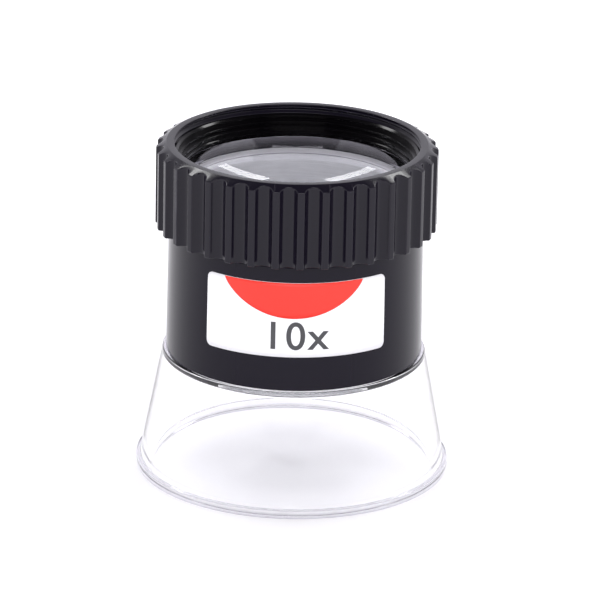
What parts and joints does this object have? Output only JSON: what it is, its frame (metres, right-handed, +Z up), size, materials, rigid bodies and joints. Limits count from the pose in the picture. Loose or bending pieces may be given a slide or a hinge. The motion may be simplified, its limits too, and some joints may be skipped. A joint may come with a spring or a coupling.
{
  "type": "viewing loupe",
  "caption": "Stand loupe for looking at film and prints: clear conical skirt, black barrel, ribbed head that turns to focus a two-lens eyepiece.",
  "frame": {"origin": "centre of the foot's circle, on the surface that the loupe stands on", "axes": "+Z up along the optical axis, the label faces -Y, +X is to the right of a viewer who reads the label"},
  "size_m": [0.042, 0.042, 0.0452],
  "materials": {
    "clear_acrylic": "clear moulded acrylic, polished",
    "black_abs": "black moulded ABS, satin",
    "label_vinyl": "printed white vinyl, semi-gloss",
    "optical_glass": "polished, coated",
    "spacer_acetal": "natural white acetal, smooth",
    "ring_alloy": "aluminium, polished lower bore, steps painted black",
    "nitrile_rubber": "black nitrile"
  },
  "bodies": {
    "stand": {"clear_skirt": "clear_acrylic", "barrel": "black_abs", "label": "label_vinyl"},
    "focus_carriage": {"friction_ring": "nitrile_rubber"},
    "head": {"focusing_head": "black_abs", "field_lens": "optical_glass", "lens_spacer": "spacer_acetal", "eye_lens": "optical_glass", "lens_retaining_ring": "ring_alloy"}
  },
  "joints": [
    {"name": "focus_slide", "type": "slide", "parent": "stand", "child": "focus_carriage", "axis": [0, 0, 1], "range_m": [-0.00016, 0.00251]},
    {"name": "focus_turn", "type": "hinge", "parent": "focus_carriage", "child": "head", "pos_m": [0, 0, 0], "axis": [0, 0, 1], "range_deg": [-36, 600]}
  ],
  "couplings": [
    {"joint": "focus_slide", "follows": "focus_turn", "m_per_rad": 0.00023873}
  ]
}
